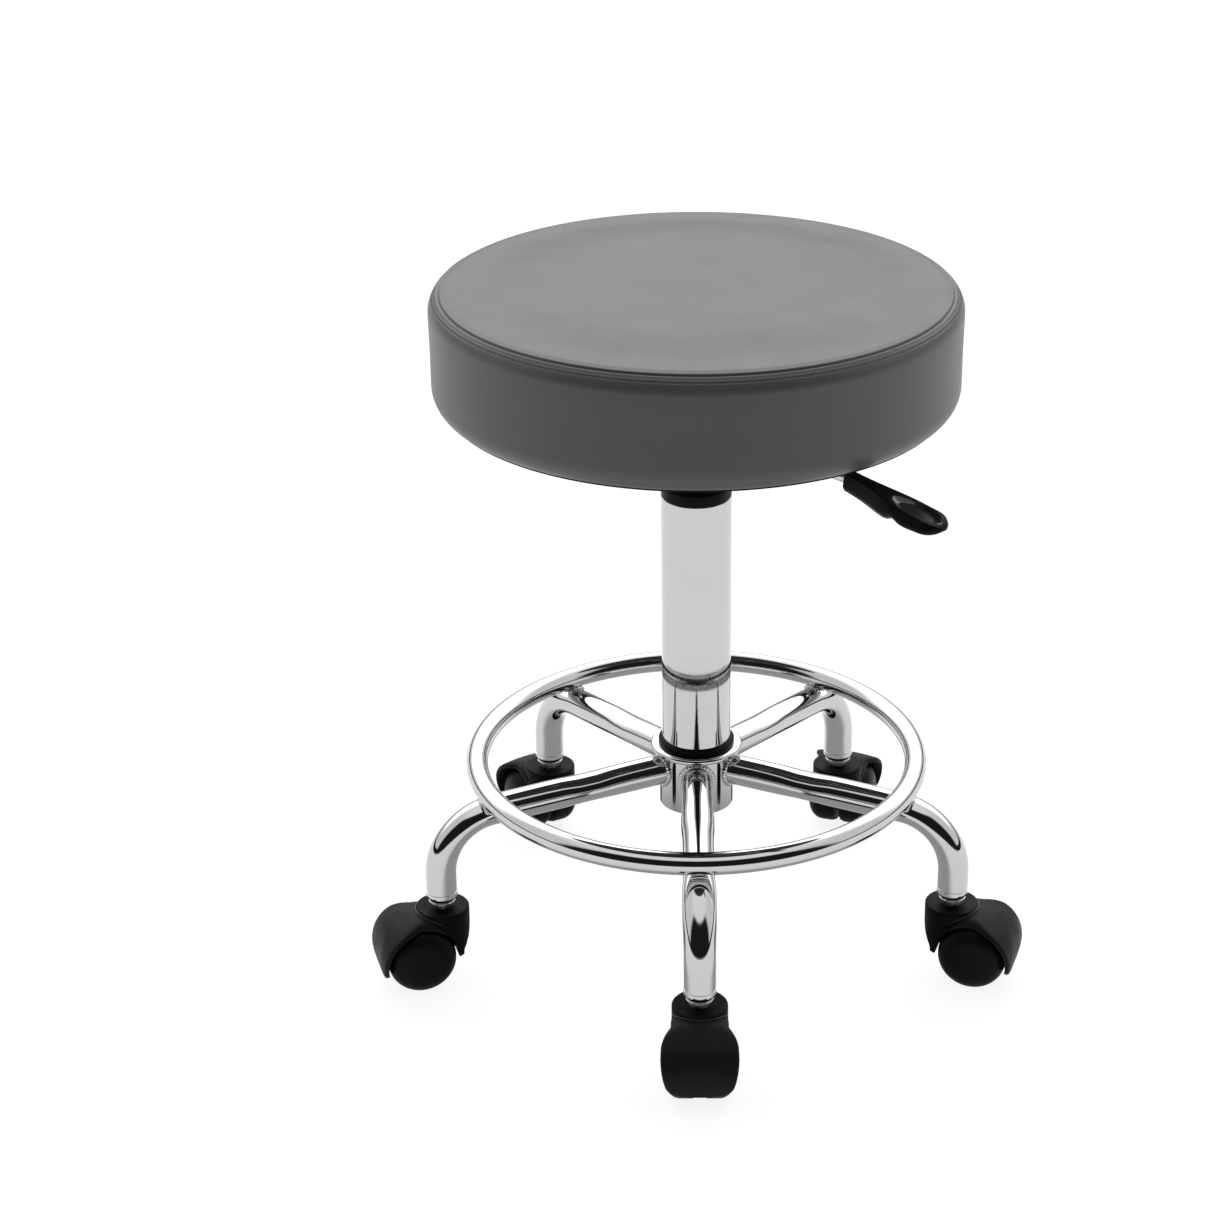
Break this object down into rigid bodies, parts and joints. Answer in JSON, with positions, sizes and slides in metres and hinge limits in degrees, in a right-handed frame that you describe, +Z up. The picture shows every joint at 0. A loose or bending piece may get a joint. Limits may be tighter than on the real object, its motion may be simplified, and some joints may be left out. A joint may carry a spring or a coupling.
{
  "type": "rolling salon stool",
  "caption": "Round padded stool on a gas-lift column with a height lever, bent tube legs with a foot ring, and swivelling twin-wheel casters.",
  "frame": {"origin": "on the column's axis, at floor level, where the wheels touch the floor", "axes": "+Z up along the column, -Y towards the front leg, +X to the right seen from the front"},
  "size_m": [0.4788, 0.4591, 0.51],
  "materials": {
    "leather": "satin grey artificial leather",
    "foam": "open-cell foam",
    "plywood": "plain",
    "dust_cloth": "non-woven",
    "zinc": "zinc plated",
    "brass": "plain",
    "black_paint": "black powder coat",
    "black_plastic": "moulded",
    "rubber": "matte",
    "chrome": "polished",
    "caster_nylon": "moulded",
    "wheel_nylon": "moulded"
  },
  "bodies": {
    "base": {"hub": "chrome", "leg_1": "chrome", "leg_2": "chrome", "leg_3": "chrome", "leg_4": "chrome", "leg_5": "chrome", "foot_ring": "chrome", "leg_welds": "chrome", "leg_sockets": "chrome", "caster_stems": "zinc", "grip_rings": "zinc", "outer_tube": "chrome", "guide_bush": "black_plastic", "lower_race": "zinc"},
    "bearing": {"bearing_cage": "brass", "bearing_balls": "zinc"},
    "rod": {"piston_rod": "zinc", "piston": "zinc", "piston_seal": "rubber", "upper_race": "zinc", "rubber_buffer": "rubber", "retaining_clip": "zinc"},
    "cushion": {"seat_cover": "leather", "seat_foam": "foam", "seat_board": "plywood", "dust_cover": "dust_cloth", "cover_staples": "zinc", "tee_nuts": "zinc", "plate_bolts": "zinc", "plate_washers": "zinc", "mount_plate": "black_paint", "plate_hub": "black_paint", "lever_bracket": "black_paint", "pressure_cylinder": "black_paint", "cylinder_gland": "black_plastic"},
    "valve": {"valve_pin": "zinc"},
    "lever": {"lever_rod": "zinc", "lever_pivot": "zinc", "lever_handle": "black_plastic"},
    "caster_1": {"caster_1_body": "caster_nylon", "caster_1_axle": "zinc"},
    "wheel_1_left": {"caster_1_wheel_left": "wheel_nylon"},
    "wheel_1_right": {"caster_1_wheel_right": "wheel_nylon"},
    "caster_2": {"caster_2_body": "caster_nylon", "caster_2_axle": "zinc"},
    "wheel_2_left": {"caster_2_wheel_left": "wheel_nylon"},
    "wheel_2_right": {"caster_2_wheel_right": "wheel_nylon"},
    "caster_3": {"caster_3_body": "caster_nylon", "caster_3_axle": "zinc"},
    "wheel_3_left": {"caster_3_wheel_left": "wheel_nylon"},
    "wheel_3_right": {"caster_3_wheel_right": "wheel_nylon"},
    "caster_4": {"caster_4_body": "caster_nylon", "caster_4_axle": "zinc"},
    "wheel_4_left": {"caster_4_wheel_left": "wheel_nylon"},
    "wheel_4_right": {"caster_4_wheel_right": "wheel_nylon"},
    "caster_5": {"caster_5_body": "caster_nylon", "caster_5_axle": "zinc"},
    "wheel_5_left": {"caster_5_wheel_left": "wheel_nylon"},
    "wheel_5_right": {"caster_5_wheel_right": "wheel_nylon"}
  },
  "joints": [
    {"name": "column_swivel", "type": "hinge", "parent": "base", "child": "rod", "pos_m": [0, 0, 0], "axis": [0, 0, 1], "continuous": true},
    {"name": "bearing_turn", "type": "hinge", "parent": "base", "child": "bearing", "pos_m": [0, 0, 0], "axis": [0, 0, 1], "continuous": true},
    {"name": "seat_lift", "type": "slide", "parent": "rod", "child": "cushion", "axis": [0, 0, 1], "range_m": [0, 0.14]},
    {"name": "lever_lift", "type": "hinge", "parent": "cushion", "child": "lever", "pos_m": [0.02475, -0.02475, 0.4195], "axis": [-0.7071, -0.7071, 0], "range_deg": [0, 4], "stiffness_Nm_per_rad": 1},
    {"name": "valve_press", "type": "slide", "parent": "cushion", "child": "valve", "axis": [0, 0, -1], "range_m": [0, 0.003]},
    {"name": "caster_1_swivel", "type": "hinge", "parent": "base", "child": "caster_1", "pos_m": [0.00238, -0.19498, 0.0595], "axis": [0, 0, 1], "continuous": true},
    {"name": "wheel_1_left_roll", "type": "hinge", "parent": "caster_1", "child": "wheel_1_left", "pos_m": [0.00238, -0.21399, 0.025], "axis": [1, 0, 0], "continuous": true},
    {"name": "wheel_1_right_roll", "type": "hinge", "parent": "caster_1", "child": "wheel_1_right", "pos_m": [0.00238, -0.21399, 0.025], "axis": [1, 0, 0], "continuous": true},
    {"name": "caster_2_swivel", "type": "hinge", "parent": "base", "child": "caster_2", "pos_m": [0.18618, -0.05799, 0.0595], "axis": [0, 0, 1], "continuous": true},
    {"name": "wheel_2_left_roll", "type": "hinge", "parent": "caster_2", "child": "wheel_2_left", "pos_m": [0.20435, -0.06354, 0.025], "axis": [0.2924, 0.9563, 0], "continuous": true},
    {"name": "wheel_2_right_roll", "type": "hinge", "parent": "caster_2", "child": "wheel_2_right", "pos_m": [0.20435, -0.06354, 0.025], "axis": [0.2924, 0.9563, 0], "continuous": true},
    {"name": "caster_3_swivel", "type": "hinge", "parent": "base", "child": "caster_3", "pos_m": [0.11268, 0.15915, 0.0595], "axis": [0, 0, 1], "continuous": true},
    {"name": "wheel_3_left_roll", "type": "hinge", "parent": "caster_3", "child": "wheel_3_left", "pos_m": [0.11824, 0.17732, 0.025], "axis": [-0.9563, 0.2924, 0], "continuous": true},
    {"name": "wheel_3_right_roll", "type": "hinge", "parent": "caster_3", "child": "wheel_3_right", "pos_m": [0.11824, 0.17732, 0.025], "axis": [-0.9563, 0.2924, 0], "continuous": true},
    {"name": "caster_4_swivel", "type": "hinge", "parent": "base", "child": "caster_4", "pos_m": [-0.11654, 0.15635, 0.0595], "axis": [0, 0, 1], "continuous": true},
    {"name": "wheel_4_left_roll", "type": "hinge", "parent": "caster_4", "child": "wheel_4_left", "pos_m": [-0.12604, 0.1728, 0.025], "axis": [-0.866, -0.5, 0], "continuous": true},
    {"name": "wheel_4_right_roll", "type": "hinge", "parent": "caster_4", "child": "wheel_4_right", "pos_m": [-0.12604, 0.1728, 0.025], "axis": [-0.866, -0.5, 0], "continuous": true},
    {"name": "caster_5_swivel", "type": "hinge", "parent": "base", "child": "caster_5", "pos_m": [-0.18471, -0.06252, 0.0595], "axis": [0, 0, 1], "continuous": true},
    {"name": "wheel_5_left_roll", "type": "hinge", "parent": "caster_5", "child": "wheel_5_left", "pos_m": [-0.20288, -0.06807, 0.025], "axis": [0.2924, -0.9563, 0], "continuous": true},
    {"name": "wheel_5_right_roll", "type": "hinge", "parent": "caster_5", "child": "wheel_5_right", "pos_m": [-0.20288, -0.06807, 0.025], "axis": [0.2924, -0.9563, 0], "continuous": true}
  ],
  "couplings": [
    {"joint": "bearing_turn", "follows": "column_swivel", "ratio": 0.5},
    {"joint": "valve_press", "follows": "lever_lift", "m_per_rad": 0.035}
  ]
}
